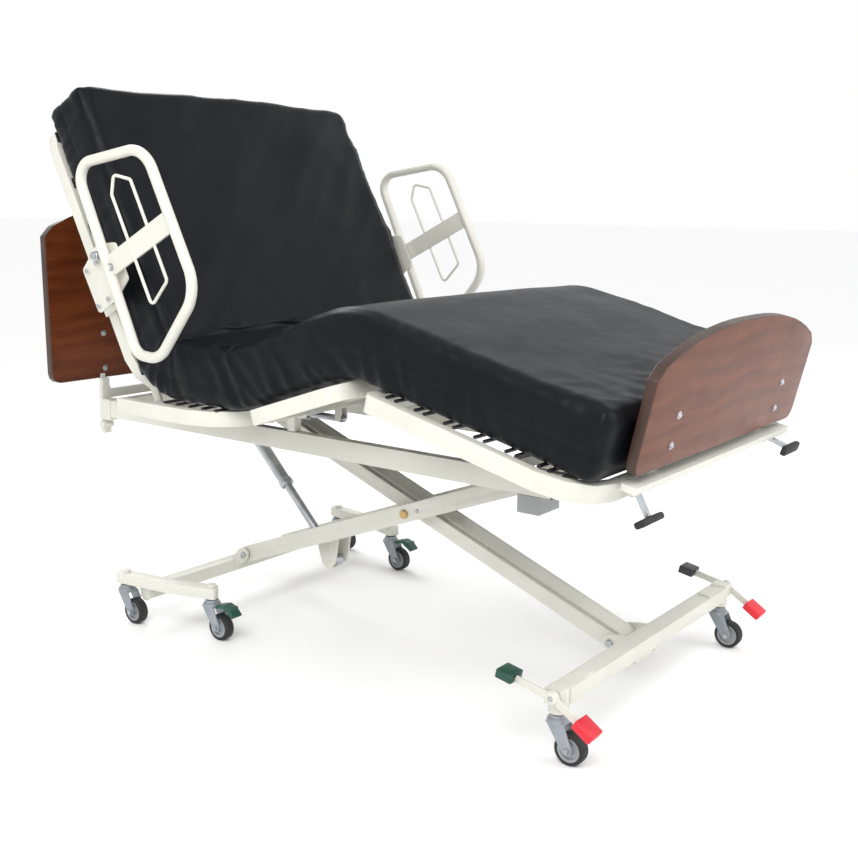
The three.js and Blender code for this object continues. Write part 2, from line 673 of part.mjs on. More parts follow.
const BACK_LIMIT = 68;
const THIGH_LIMIT = 29.5;
const backSlope = Math.tan(THREE.MathUtils.degToRad(BACK_LIMIT / 2));
const thighSlope = Math.tan(THREE.MathUtils.degToRad(THIGH_LIMIT / 2));
const SEAM = 1.5;

cushion(() => -870, (z) => -z * backSlope - SEAM, "back_cushion", back, 0);
cushion((z) => BACK_HINGE[0] + z * backSlope + SEAM, (z) => KNEE_HINGE[0] - z * thighSlope - SEAM, "seat_cushion",
  bed, KNEE_HINGE[1]);
cushion((z) => z * thighSlope + SEAM, () => THIGH_LENGTH - SEAM, "thigh_cushion", thigh, 0);
cushion(() => SEAM, () => 664, "foot_cushion", foot, 0);

export default bed;
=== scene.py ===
"""An adjustable hospital bed on a scissor lift, dressed around its frame. Metres, +X to the foot end."""
import json
import math

import bmesh
import bpy
import numpy as np
from mathutils import Matrix, Vector, noise


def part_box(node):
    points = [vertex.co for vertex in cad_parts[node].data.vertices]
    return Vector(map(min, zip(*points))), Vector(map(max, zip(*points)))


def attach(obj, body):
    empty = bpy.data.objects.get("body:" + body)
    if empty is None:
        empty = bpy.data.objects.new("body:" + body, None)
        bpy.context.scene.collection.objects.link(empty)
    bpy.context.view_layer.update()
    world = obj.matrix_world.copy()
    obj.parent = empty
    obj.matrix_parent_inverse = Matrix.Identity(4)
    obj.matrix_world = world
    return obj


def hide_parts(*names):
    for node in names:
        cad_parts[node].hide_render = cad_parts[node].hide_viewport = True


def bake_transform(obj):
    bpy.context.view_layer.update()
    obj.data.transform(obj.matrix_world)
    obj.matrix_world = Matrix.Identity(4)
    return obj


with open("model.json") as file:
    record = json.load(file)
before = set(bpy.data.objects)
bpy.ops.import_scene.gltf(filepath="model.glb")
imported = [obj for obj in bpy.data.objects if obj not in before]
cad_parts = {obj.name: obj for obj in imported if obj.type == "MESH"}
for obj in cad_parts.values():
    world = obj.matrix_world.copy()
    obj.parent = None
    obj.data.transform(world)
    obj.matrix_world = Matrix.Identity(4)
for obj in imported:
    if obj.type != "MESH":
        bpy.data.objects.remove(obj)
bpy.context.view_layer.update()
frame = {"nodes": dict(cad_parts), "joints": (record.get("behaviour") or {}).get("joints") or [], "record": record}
RECORD = frame["record"]
BODY_OF = {node: body for body, nodes in RECORD["behaviour"]["bodies"].items() for node in nodes}
SLOT_OF = {part["node"]: part["material_slot"] for part in RECORD["subparts"]}
JOINTS = {joint["name"]: joint for joint in frame["joints"]}


# ---- camera, light and floor ----

CAMERA_PLACE = (1.99946, -2.5507, 1.2345)
CAMERA_TURN = 36.53
CAMERA_DROP = 12.0
CAMERA_ROLL = 0.71
LENS = 48.17
SHIFT = (-0.0053, 0.0201)


def make_camera():
    turn, drop, roll = (math.radians(v) for v in (CAMERA_TURN, CAMERA_DROP, CAMERA_ROLL))
    ahead = Vector((-math.sin(turn) * math.cos(drop), math.cos(turn) * math.cos(drop), -math.sin(drop)))
    right = Vector((math.cos(turn), math.sin(turn), 0))
    up = right.cross(ahead)
    across = math.cos(roll) * right + math.sin(roll) * up
    upright = -math.sin(roll) * right + math.cos(roll) * up
    data = bpy.data.cameras.new("camera")
    data.lens = LENS
    data.sensor_width = 36
    data.shift_x, data.shift_y = SHIFT
    camera = bpy.data.objects.new("camera", data)
    bpy.context.scene.collection.objects.link(camera)
    basis = Matrix((across, upright, -ahead)).transposed().to_4x4()
    camera.matrix_world = Matrix.Translation(CAMERA_PLACE) @ basis
    bpy.context.scene.camera = camera


def area_light(name, place, aim, size, power, colour=(1, 1, 1)):
    data = bpy.data.lights.new(name, "AREA")
    data.energy = power
    data.size = size
    data.color = colour
    light = bpy.data.objects.new(name, data)
    bpy.context.scene.collection.objects.link(light)
    light.location = place
    light.rotation_euler = (Vector(aim) - Vector(place)).to_track_quat("-Z", "Y").to_euler()


def make_studio():
    world = bpy.data.worlds.new("studio")
    world.use_nodes = True
    background = world.node_tree.nodes["Background"]
    background.inputs["Color"].default_value = (1, 1, 1, 1)
    background.inputs["Strength"].default_value = 1.0
    bpy.context.scene.world = world
    area_light("key", (1.6, -3.4, 3.6), (0, 0, 0.6), 2.4, 120)
    area_light("fill", (3.6, 1.5, 2.6), (0, 0, 0.6), 2.6, 50)
    area_light("rim", (-3.2, 1.4, 3.0), (0, 0, 0.9), 2.0, 80)
    bpy.context.scene.view_settings.view_transform = "Standard"
    mesh = bpy.data.meshes.new("floor")
    reach = 60
    mesh.from_pydata([(-reach, -reach, 0), (reach, -reach, 0), (reach, reach, 0), (-reach, reach, 0)], [],
                     [(0, 1, 2, 3)])
    floor = bpy.data.objects.new("floor", mesh)
    bpy.context.scene.collection.objects.link(floor)
    floor.data.materials.append(plain_material("floor_white", (0.95, 0.95, 0.95), 0.9))


# ---- materials ----

def plain_material(name, colour, roughness, metallic=0.0):
    made = bpy.data.materials.new(name)
    made.use_nodes = True
    shader = made.node_tree.nodes["Principled BSDF"]
    shader.inputs["Base Color"].default_value = (*colour, 1)
    shader.inputs["Roughness"].default_value = roughness
    shader.inputs["Metallic"].default_value = metallic
    return made


class Finish:
    """A node material on object coordinates, with noise in its colour, roughness and bump."""

    def __init__(self, name, roughness, metallic=0.0):
        self.material = plain_material(name, (0.5, 0.5, 0.5), roughness, metallic)
        self.tree = self.material.node_tree
        self.shader = self.tree.nodes["Principled BSDF"]
        self.coordinates = self.tree.nodes.new("ShaderNodeTexCoord").outputs["Object"]
        self.height = None

    def node(self, kind, **values):
        made = self.tree.nodes.new(kind)
        for key, value in values.items():
            if key in made.inputs.keys():
                made.inputs[key].default_value = value
            else:
                setattr(made, key, value)
        return made

    def link(self, source, target):
        self.tree.links.new(source, target)

    def stretched(self, scale):
        mapping = self.node("ShaderNodeMapping")
        mapping.inputs["Scale"].default_value = scale
        self.link(self.coordinates, mapping.inputs["Vector"])
        return mapping.outputs["Vector"]

    def noise(self, scale, detail=3.0, stretch=(1, 1, 1), distortion=0.0):
        texture = self.node("ShaderNodeTexNoise", Scale=scale, Detail=detail, Distortion=distortion)
        self.link(self.stretched(stretch), texture.inputs["Vector"])
        return texture.outputs["Fac"]

    def ramp(self, source, stops):
        made = self.tree.nodes.new("ShaderNodeValToRGB")
        elements = made.color_ramp.elements
        while len(elements) < len(stops):
            elements.new(0.5)
        for element, (place, colour) in zip(elements, stops):
            element.position = place
            element.color = (*colour, 1) if len(colour) == 3 else colour
        self.link(source, made.inputs["Fac"])
        return made.outputs["Color"]

    def colour(self, source):
        self.link(source, self.shader.inputs["Base Color"])

    def rough(self, source, low, high):
        spread = self.node("ShaderNodeMapRange")
        spread.inputs["To Min"].default_value = low
        spread.inputs["To Max"].default_value = high
        self.link(source, spread.inputs["Value"])
        self.link(spread.outputs["Result"], self.shader.inputs["Roughness"])

    def bump(self, source, strength, distance):
        made = self.node("ShaderNodeBump", Strength=strength, Distance=distance)
        self.link(source, made.inputs["Height"])
        if self.height is not None:
            self.link(self.height, made.inputs["Normal"])
        self.height = made.outputs["Normal"]
        self.link(self.height, self.shader.inputs["Normal"])


def mottled(name, light, dark, roughness, metallic=0.0, grain=700, grain_depth=0.00012, cloud=7):
    """Paint, plastic or plated steel: cloudy colour, uneven gloss, a fine grain in relief."""
    made = Finish(name, roughness, metallic)
    clouds = made.noise(cloud, 4)
    made.colour(made.ramp(clouds, [(0.3, dark), (0.68, light)]))
    made.rough(made.noise(cloud * 3.1, 5), roughness - 0.09, roughness + 0.09)
    made.bump(made.noise(grain, 2), 0.35, grain_depth)
    return made


def brushed(name, light, dark, roughness):
    """Plated steel with drawn streaks along X."""
    made = mottled(name, light, dark, roughness, 0.9, 900, 0.00005, 22)
    made.bump(made.noise(240, 3, (0.15, 1, 1)), 0.25, 0.00008)
    return made.material


def cherry_wood():
    """Laminate with cherry figure running across the panel and fine pores."""
    made = Finish("cherry_wood", 0.4)
    figure = made.noise(3.4, 6, (1, 1, 2.6), 1.6)
    waves = made.node("ShaderNodeTexWave", Scale=5.5, Distortion=7.5, Detail=4.0)
    waves.bands_direction = "Z"
    waves.inputs["Detail Scale"].default_value = 1.4
    made.link(made.stretched((1, 0.3, 1.1)), waves.inputs["Vector"])
    blended = made.node("ShaderNodeMix", data_type="FLOAT")
    blended.inputs[0].default_value = 0.22
    made.link(figure, blended.inputs[2])
    made.link(waves.outputs["Fac"], blended.inputs[3])
    red = made.ramp(blended.outputs[0], [(0.15, (0.075, 0.016, 0.004)), (0.5, (0.125, 0.029, 0.007)),
                                         (0.85, (0.175, 0.046, 0.011))])
    pores = made.noise(120, 4, (1, 0.06, 1))
    darken = made.node("ShaderNodeMix", data_type="RGBA", blend_type="MULTIPLY")
    darken.inputs[0].default_value = 0.4
    made.link(red, darken.inputs[6])
    made.link(made.ramp(pores, [(0.35, (0.45, 0.40, 0.38)), (0.6, (1, 1, 1))]), darken.inputs[7])
    made.colour(darken.outputs[2])
    made.rough(made.noise(14, 4), 0.28, 0.42)
    made.bump(pores, 0.18, 0.00012)
    made.shader.inputs["Coat Weight"].default_value = 0.05
    made.shader.inputs["Specular IOR Level"].default_value = 0.28
    made.shader.inputs["Coat Roughness"].default_value = 0.22
    return made.material


def coated_fabric():
    """Black coated stretch fabric: a fine weave, faint puckers and a soft uneven gloss."""
    made = Finish("black_fabric", 0.5)
    made.colour(made.ramp(made.noise(9, 5),
                          [(0.3, (0.0022, 0.0030, 0.0048)), (0.7, (0.0045, 0.0056, 0.0085))]))
    made.rough(made.noise(22, 5), 0.36, 0.48)
    weave = made.node("ShaderNodeTexWave", Scale=420.0, Distortion=0.6, Detail=1.0)
    weave.bands_direction = "DIAGONAL"
    made.link(made.coordinates, weave.inputs["Vector"])
    made.bump(weave.outputs["Fac"], 0.12, 0.00015)
    made.bump(made.noise(85, 5), 0.3, 0.0006)
    made.bump(made.noise(18, 4, (1, 0.5, 1)), 0.35, 0.003)
    made.shader.inputs["Sheen Weight"].default_value = 0.0
    made.shader.inputs["Specular IOR Level"].default_value = 0.14
    return made.material


def make_materials():
    return {
        "cream_powder_coat": mottled("cream_powder_coat", (0.66, 0.65, 0.585), (0.60, 0.59, 0.53), 0.4,
                                     0.0).material,
        "zinc_steel": brushed("zinc_steel", (0.50, 0.52, 0.54), (0.36, 0.38, 0.40), 0.34),
        "black_rubber": mottled("black_rubber", (0.020, 0.020, 0.021), (0.011, 0.011, 0.012), 0.72, 0, 380,
                                0.0004, 30).material,
        "hub_grey": mottled("hub_grey", (0.30, 0.32, 0.34), (0.22, 0.235, 0.25), 0.42, 0.0, 500).material,
        "fork_grey": mottled("fork_grey", (0.33, 0.36, 0.39), (0.23, 0.255, 0.28), 0.36, 0.45, 500).material,
        "green_plastic": mottled("green_plastic", (0.008, 0.075, 0.050), (0.005, 0.045, 0.030), 0.42, 0,
                                 420).material,
        "dark_plastic": mottled("dark_plastic", (0.030, 0.036, 0.034), (0.018, 0.022, 0.021), 0.45, 0,
                                420).material,
        "red_plastic": mottled("red_plastic", (0.72, 0.012, 0.030), (0.56, 0.008, 0.022), 0.36, 0,
                               420).material,
        "brass": brushed("brass", (0.52, 0.36, 0.15), (0.36, 0.24, 0.10), 0.32),
        "black_steel": mottled("black_steel", (0.024, 0.024, 0.026), (0.013, 0.013, 0.014), 0.42,
                               0.2).material,
        "cherry_wood": cherry_wood(),
        "dark_edge": mottled("dark_edge", (0.050, 0.022, 0.014), (0.028, 0.012, 0.008), 0.4, 0, 300).material,
        "grey_plastic": mottled("grey_plastic", (0.36, 0.375, 0.37), (0.29, 0.30, 0.30), 0.5, 0, 350,
                                0.0002).material,
        "black_fabric": coated_fabric(),
    }


# ---- mesh helpers ----

def link_mesh(name, mesh):
    made = bpy.data.objects.new(name, mesh)
    bpy.context.scene.collection.objects.link(made)
    return made


def finish_piece(piece, body, material, slot, *nodes):
    if material is not None:
        piece.data.materials.clear()
        piece.data.materials.append(MATERIALS[material])
    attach(piece, body)
    if nodes:
        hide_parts(*nodes)
    return piece


def soften(mesh, angle=math.radians(42)):
    mesh.polygons.foreach_set("use_smooth", [True] * len(mesh.polygons))
    mesh.set_sharp_from_angle(angle=angle)


def bevelled(name, source, width, segments=2, threshold=math.radians(40)):
    """A copy of a faceted mesh with flat areas merged and its hard edges rounded."""
    shape = bmesh.new()
    shape.from_mesh(source)
    bmesh.ops.remove_doubles(shape, verts=shape.verts, dist=2e-5)
    bmesh.ops.dissolve_limit(shape, angle_limit=math.radians(1.0), verts=shape.verts, edges=shape.edges)
    hard = [e for e in shape.edges if len(e.link_faces) == 2 and e.calc_face_angle(0) > threshold]
    bmesh.ops.bevel(shape, geom=hard, offset=width, segments=segments, affect="EDGES", clamp_overlap=True,
                    profile=0.6)
    mesh = bpy.data.meshes.new(name)
    shape.to_mesh(mesh)
    shape.free()
    soften(mesh)
    return mesh


def box_mesh(name, corners):
    """A closed box from eight corners, the last coordinate changing fastest and the first slowest."""
    mesh = bpy.data.meshes.new(name)
    mesh.from_pydata(corners, [], [(0, 1, 3, 2), (4, 6, 7, 5), (0, 4, 5, 1), (2, 3, 7, 6), (0, 2, 6, 4),
                                   (1, 5, 7, 3)])
    shape = bmesh.new()
    shape.from_mesh(mesh)
    bmesh.ops.recalc_face_normals(shape, faces=shape.faces)
    shape.to_mesh(mesh)
    shape.free()
    return mesh


def refine(node, width=0.0016, material=None, name=None):
    """The detailed copy that stands for a CAD node."""
    slot = SLOT_OF[node]
    mesh = bevelled(name or node + "_shell", frame["nodes"][node].data, width)
    mesh.materials.clear()
    piece = link_mesh(name or node + "_shell", mesh)
    return finish_piece(piece, BODY_OF[node], material or slot, slot, node)


def lathe(name, profile, place, axis, segments=56):
    """A ring solid: a closed profile of (radius, height) pairs turned about an axis through a point."""
    turn = Vector((0, 0, 1)).rotation_difference(Vector(axis)).to_matrix()
    count = len(profile)
    points = []
    for step in range(segments):
        angle = 2 * math.pi * step / segments
        for radius, height in profile:
            local = Vector((radius * math.cos(angle), radius * math.sin(angle), height))
            points.append(Vector(place) + turn @ local)
    faces = []
    for step in range(segments):
        ahead = (step + 1) % segments
        for k in range(count):
            after = (k + 1) % count
            faces.append((step * count + k, ahead * count + k, ahead * count + after, step * count + after))
    mesh = bpy.data.meshes.new(name)
    mesh.from_pydata(points, [], faces)
    shape = bmesh.new()
    shape.from_mesh(mesh)
    bmesh.ops.remove_doubles(shape, verts=shape.verts, dist=1e-6)
    bmesh.ops.recalc_face_normals(shape, faces=shape.faces)
    shape.to_mesh(mesh)
    shape.free()
    soften(mesh, math.radians(35))
    return link_mesh(name, mesh)


def arc(centre, radius, start, end, steps=5):
    """Profile points on an arc, angles in degrees."""
    return [(centre[0] + radius * math.cos(math.radians(start + (end - start) * k / steps)),
             centre[1] + radius * math.sin(math.radians(start + (end - start) * k / steps)))
            for k in range(steps + 1)]


def disc_head(name, place, axis, radius, height, material, body, slot, dome=0.3):
    """A bolt head, cap or button: a domed disc standing on its place."""
    edge = min(height, radius) * dome
    profile = [(1e-5, 0), (radius, 0), (radius, height - edge),
               *arc((radius - edge, height - edge), edge, 0, 90, 4),
               (1e-5, height)]
    return finish_piece(lathe(name, profile, place, axis, 28), body, material, slot)


def joined(name, pieces):
    """Several loose meshes as one object."""
    shape = bmesh.new()
    for piece in pieces:
        part = bmesh.new()
        part.from_mesh(piece.data)
        part.transform(piece.matrix_world)
        spare = bpy.data.meshes.new("spare")
        part.to_mesh(spare)
        part.free()
        shape.from_mesh(spare)
        bpy.data.objects.remove(piece)
    mesh = bpy.data.meshes.new(name)
    shape.to_mesh(mesh)
    shape.free()
    soften(mesh)
    return link_mesh(name, mesh)


# ---- where the deck lies at rest ----

def joint_place(name):
    return Vector(JOINTS[name]["pos_m"])


BACK_HINGE = joint_place("backrest_tilt")
THIGH_HINGE = joint_place("thigh_tilt")
FOOT_HINGE = joint_place("foot_fold")
BACK_ANGLE = math.radians(63)
THIGH_ANGLE = math.radians(18.5)
FOOT_ANGLE = math.radians(13.9)


def on_back(x, y, z):
    """A point given in millimetres in the backrest's own flat frame."""
    cos, sin = math.cos(BACK_ANGLE), math.sin(BACK_ANGLE)
    return Vector((BACK_HINGE.x + (x * cos + z * sin) / 1000, y / 1000,
                   BACK_HINGE.z + (-x * sin + z * cos) / 1000))


# ---- casters ----

WHEEL_RADIUS = 0.038


def dress_caster(prefix):
    fork, wheel = prefix + "_caster_fork", prefix + "_caster_wheel"
    low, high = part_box(wheel)
    centre = (low + high) / 2
    half = (high.y - low.y) / 2
    tread = [(0.0295, half), (0.0345, half - 0.0004), *arc((0.0335, half - 0.0046), 0.0042, 78, 15, 4),
             (WHEEL_RADIUS, 0.0045), (WHEEL_RADIUS, -0.0045),
             *arc((0.0335, -half + 0.0046), 0.0042, -15, -78, 4),
             (0.0345, -half + 0.0004), (0.0295, -half)]
    tyre = lathe(prefix + "_tyre", tread + [(0.027, -half + 0.003), (0.027, half - 0.003)], centre, (0, 1, 0),
                 72)
    finish_piece(tyre, BODY_OF[wheel], "black_rubber", "black_rubber", wheel)
    face = [(0.0062, half - 0.0005), (0.0115, half - 0.0005), (0.0125, half - 0.003), (0.0135, half - 0.0065),
            (0.0215, half - 0.0065), (0.0228, half - 0.0025), (0.0262, half - 0.0015), (0.0285, half - 0.001)]
    back = [(radius, -height) for radius, height in reversed(face)]
    hub = lathe(prefix + "_hub", face + back, centre, (0, 1, 0), 56)
    finish_piece(hub, BODY_OF[wheel], "hub_grey", "black_rubber")
    refine(fork, 0.0012, "fork_grey", prefix + "_fork")
    stem = Vector(joint_place(prefix + "_caster_swivel"))
    cap = [(0.004, 0.0945), (0.0262, 0.0945), (0.0268, 0.0975), (0.0245, 0.1035), (0.0205, 0.1055),
           (0.0205, 0.1085),
           (0.0188, 0.1132), (0.012, 0.1138), (0.004, 0.1138)]
    race = lathe(prefix + "_swivel_race", cap, (stem.x, stem.y, 0), (0, 0, 1), 56)
    finish_piece(race, BODY_OF[fork], "fork_grey", "zinc_steel")
    for side in (-1, 1):
        place = (centre.x, centre.y + side * 0.0255, centre.z)
        disc_head(f"{prefix}_axle_nut_{'right' if side < 0 else 'left'}", place, (0, side, 0), 0.0062, 0.0034,
                  "zinc_steel", BODY_OF[fork], "zinc_steel")


# ---- tubes, boards and hardware ----

def bent_tube(name, points, radius, closed=False, resolution=8):
    """A round tube through points, as a mesh."""
    data = bpy.data.curves.new(name, "CURVE")
    data.dimensions = "3D"
    data.bevel_depth = radius
    data.bevel_resolution = resolution
    data.use_fill_caps = True
    spline = data.splines.new("POLY")
    spline.points.add(len(points) - 1)
    for spot, point in zip(spline.points, points):
        spot.co = (*point, 1)
    spline.use_cyclic_u = closed
    curve = bpy.data.objects.new(name, data)
    bpy.context.scene.collection.objects.link(curve)
    bpy.context.view_layer.update()
    mesh = bpy.data.meshes.new_from_object(curve.evaluated_get(bpy.context.evaluated_depsgraph_get()))
    mesh.name = name
    bpy.data.objects.remove(curve)
    soften(mesh, math.radians(50))
    return link_mesh(name, mesh)


def rounded_loop(corners, steps=14):
    """A closed outline in the plane with each corner (a, b, radius) rounded off."""
    points = []
    count = len(corners)
    for i, (a, b, radius) in enumerate(corners):
        corner = Vector((a, b))
        before = (Vector(corners[i - 1][:2]) - corner).normalized()
        after = (Vector(corners[(i + 1) % count][:2]) - corner).normalized()
        half = math.acos(max(-1.0, min(1.0, before.dot(after)))) / 2
        centre = corner + (before + after).normalized() * radius / math.sin(half)
        first = corner + before * radius / math.tan(half) - centre
        last = corner + after * radius / math.tan(half) - centre
        turn = math.atan2(first.x * last.y - first.y * last.x, first.dot(last))
        for k in range(steps + 1):
            angle = turn * k / steps
            cos, sin = math.cos(angle), math.sin(angle)
            points.append(centre + Vector((first.x * cos - first.y * sin, first.x * sin + first.y * cos)))
    return points


# Millimetres in the backrest's flat frame, the two tube radii in metres.
RAIL_Y = 628
RAIL_TUBE_RADIUS = 0.0138
RAIL_WIRE_RADIUS = 0.0042
STRAP_X, STRAP_Y, STRAP_Z = (-375, -319), (622, 630), (158, 438)
RAIL_CORNERS = [(-634, 172, 50), (-544, 440, 85), (-156, 440, 95), (-60, 226, 75), (-106, 150, 50)]
INNER_CORNERS = [(-222, 353, 12), (-500, 353, 12), (-540, 300, 12), (-500, 268, 12), (-190, 268, 12)]


def dress_assist_rail(side_name, side):
    node = side_name + "_assist_rail"
    outer = bent_tube("outer", [on_back(p.x, side * RAIL_Y, p.y) for p in rounded_loop(RAIL_CORNERS)],
                      RAIL_TUBE_RADIUS, True)
    inner = bent_tube("inner", [on_back(p.x, side * RAIL_Y, p.y) for p in rounded_loop(INNER_CORNERS, 6)],
                      RAIL_WIRE_RADIUS, True, 5)
    corners = [on_back(x, side * y, z) for x in STRAP_X for y in STRAP_Y for z in STRAP_Z]
    strap = link_mesh("strap", bevelled("strap", box_mesh("strap", corners), 0.0022, 3))
    whole = joined(node + "_tube", [outer, inner, strap])
    finish_piece(whole, BODY_OF[node], "cream_powder_coat", "cream_powder_coat", node)
    disc_head(side_name + "_rail_pivot_bolt", on_back(-342, side * 630, 170), (0, side, 0), 0.011, 0.007,
              "zinc_steel", BODY_OF[node], "zinc_steel")
    knob = side_name + "_latch_knob"
    refine(knob, 0.0015)
    bracket = side_name + "_assist_bracket"
    refine(bracket, 0.0014)
    for k, (x, z) in enumerate([(-388, 98), (-385, 53), (-284, 97), (-284, 50)]):
        disc_head(f"{side_name}_bracket_bolt_{k}", on_back(x, side * 612.5, z), (0, side, 0), 0.0062, 0.004,
                  "zinc_steel", BODY_OF[bracket], "zinc_steel", 0.5)


def dress_board(node, body, outward, bolts):
    """A panel end: cherry faces, dark edging band, carriage bolts with washers."""
    mesh = bevelled(node + "_panel", frame["nodes"][node].data, 0.003, 3)
    mesh.materials.clear()
    mesh.materials.append(MATERIALS["cherry_wood"])
    mesh.materials.append(MATERIALS["dark_edge"])
    face = Vector(outward).normalized()
    for polygon in mesh.polygons:
        polygon.material_index = 0 if abs(polygon.normal.dot(face)) > 0.9 else 1
    panel = link_mesh(node + "_panel", mesh)
    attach(panel, body)
    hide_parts(node)
    for k, place in enumerate(bolts):
        disc_head(f"{node}_washer_{k}", place, face, 0.0095, 0.0012, "zinc_steel", body, "zinc_steel", 0.4)
        disc_head(f"{node}_bolt_{k}", Vector(place) + face * 0.0012, face, 0.0062, 0.0042, "zinc_steel", body,
                  "zinc_steel", 0.8)


def end_cap(name, low, high, body, material="black_rubber"):
    """A moulded plug in the end of a rectangular tube."""
    corners = [(x, y, z) for x in (low[0], high[0]) for y in (low[1], high[1]) for z in (low[2], high[2])]
    cap = link_mesh(name, bevelled(name, box_mesh(name, corners), 0.0015, 3))
    return finish_piece(cap, body, material, material if material in SLOTS else "black_rubber")


LIFT_TUBE_REACH = 0.6138  # from the rod's pivot to the far end of the tube, in metres


def dress_lift_actuator():
    tube, stroke = "lift_actuator_tube", "lift_actuator_rod"
    refine(tube, 0.002)
    refine(stroke, 0.0015)
    line = Vector(JOINTS["lift_stroke"]["axis"]).normalized()
    start = joint_place("lift_rod_pivot")
    sleeve = [(0.0138, 0.289), (0.0215, 0.289), (0.0226, 0.292), (0.0226, 0.305), (0.0205, 0.309),
              (0.0196, 0.312),
              (0.0196, LIFT_TUBE_REACH - 0.02), (0.018, LIFT_TUBE_REACH - 0.018),
              (0.0146, LIFT_TUBE_REACH - 0.018)]
    finish_piece(lathe("lift_tube_sleeve", sleeve, start, line, 56), BODY_OF[tube], "zinc_steel",
                 "zinc_steel")
    polished = [(0.004, 0.016), (0.0134, 0.016), (0.0134, 0.372), (0.004, 0.372)]
    finish_piece(lathe("lift_rod_polish", polished, start, line, 48), BODY_OF[stroke], "zinc_steel",
                 "zinc_steel")


def dress_pivots():
    crossing = joint_place("arm_crossing")
    body = BODY_OF["scissor_pivot_pin"]
    refine("scissor_pivot_pin", 0.0008)
    for side in (-1, 1):
        place = (crossing.x, side * 0.1030, crossing.z)
        name = "right" if side < 0 else "left"
        disc_head(name + "_pivot_cap", place, (0, side, 0), 0.0126, 0.0068, "brass", body, "brass", 0.35)
        disc_head(name + "_pivot_screw", (crossing.x + 0.045, side * 0.1021, crossing.z + 0.016),
                  (0, side, 0),
                  0.0055, 0.0035, "zinc_steel", "outer_arm", "zinc_steel", 0.6)
        for pivot, reach, owner in (("lift", 0.058, "base"), ("head_base_pivot", 0.1142, "head_end_base")):
            spot = joint_place(pivot)
            disc_head(f"{name}_{pivot}_bolt", (spot.x, side * (reach + 0.0002), spot.z), (0, side, 0), 0.0105,
                      0.0072,
                      "zinc_steel", owner, "zinc_steel", 0.5)
        spot = joint_place("brake_turn")
        disc_head(f"{name}_brake_hub", (spot.x, side * 0.4908, spot.z), (0, side, 0), 0.0150, 0.0045,
                  "cream_powder_coat", "brake", "cream_powder_coat", 0.9)
        disc_head(f"{name}_brake_screw", (spot.x, side * 0.4953, spot.z), (0, side, 0), 0.0060, 0.0040,
                  "zinc_steel", "brake", "zinc_steel", 0.6)


# ---- mattress ----

THICK = 0.165
HALF_WIDTH = 0.538
DECK_GAP = 0.027
HEAD_REACH = 0.868
FOOT_REACH = 0.662
FOLD_RADII = (0.212, 0.260, 0.090)
STATION_STEP = 0.0095
END_RADIUS = 0.026
EDGE_RADIUS = 0.034
END_RINGS = 12  # drawn in at each end by close_ends, and so ahead of the first station
BACK_CUT_PAST_FOLD = 0.205  # along the seat, clear of the blend at the back fold


def turned_from(hinge, angle, x, z):
    """A point of a section drawn flat, turned about its hinge; angle positive lifts the foot side."""
    cos, sin = math.cos(angle), math.sin(angle)
    return Vector((hinge.x + x * cos - z * sin, hinge.z + x * sin + z * cos))


def meet(a, direction_a, b, direction_b):
    cross = direction_a.x * direction_b.y - direction_a.y * direction_b.x
    gap = b - a
    return a + direction_a * ((gap.x * direction_b.y - gap.y * direction_b.x) / cross)


def underside_corners():
    """The five corners of the mattress's underside, head end to foot end, in XZ."""
    head = turned_from(BACK_HINGE, -BACK_ANGLE, -HEAD_REACH, DECK_GAP)
    seat = Vector((BACK_HINGE.x, BACK_HINGE.z + DECK_GAP))
    thigh = turned_from(THIGH_HINGE, THIGH_ANGLE, 0, DECK_GAP)
    foot = turned_from(FOOT_HINGE, -FOOT_ANGLE, FOOT_REACH, DECK_GAP)
    down_back = Vector((math.cos(BACK_ANGLE), -math.sin(BACK_ANGLE)))
    level = Vector((1, 0))
    up_thigh = Vector((math.cos(THIGH_ANGLE), math.sin(THIGH_ANGLE)))
    down_foot = Vector((math.cos(FOOT_ANGLE), -math.sin(FOOT_ANGLE)))
    return [head, meet(head, down_back, seat, level), meet(seat, level, thigh, up_thigh),
            meet(thigh, up_thigh, foot, down_foot), foot]


def rounded_path(corners, radii):
    """Even stations along a rounded polyline: places, headings, the length at each corner and in all."""
    dense, marks = [corners[0]], []
    for i, radius in enumerate(radii, start=1):
        before = (corners[i] - corners[i - 1]).normalized()
        after = (corners[i + 1] - corners[i]).normalized()
        turn = math.atan2(before.x * after.y - before.y * after.x, before.dot(after))
        reach = radius * math.tan(abs(turn) / 2)
        start = corners[i] - before * reach
        centre = start + Vector((-before.y, before.x)) * math.copysign(radius, turn)
        spoke = start - centre
        steps = 24
        for k in range(steps + 1):
            angle = turn * k / steps
            cos, sin = math.cos(angle), math.sin(angle)
            dense.append(centre + Vector((spoke.x * cos - spoke.y * sin, spoke.x * sin + spoke.y * cos)))
        marks.append(len(dense) - 1 - steps // 2)
    dense.append(corners[-1])
    lengths = [0.0]
    for a, b in zip(dense, dense[1:]):
        lengths.append(lengths[-1] + (b - a).length)
    folds = [lengths[m] for m in marks]
    total = lengths[-1]
    count = round(total / STATION_STEP)
    xs = np.interp(np.linspace(0, total, count + 1), lengths, [p.x for p in dense])
    zs = np.interp(np.linspace(0, total, count + 1), lengths, [p.y for p in dense])
    headings = np.unwrap(np.arctan2(np.gradient(zs), np.gradient(xs)))
    kernel = np.ones(5) / 5
    padded_headings = np.pad(headings, 2, mode="edge")
    return xs, zs, np.convolve(padded_headings, kernel, "valid"), folds, total


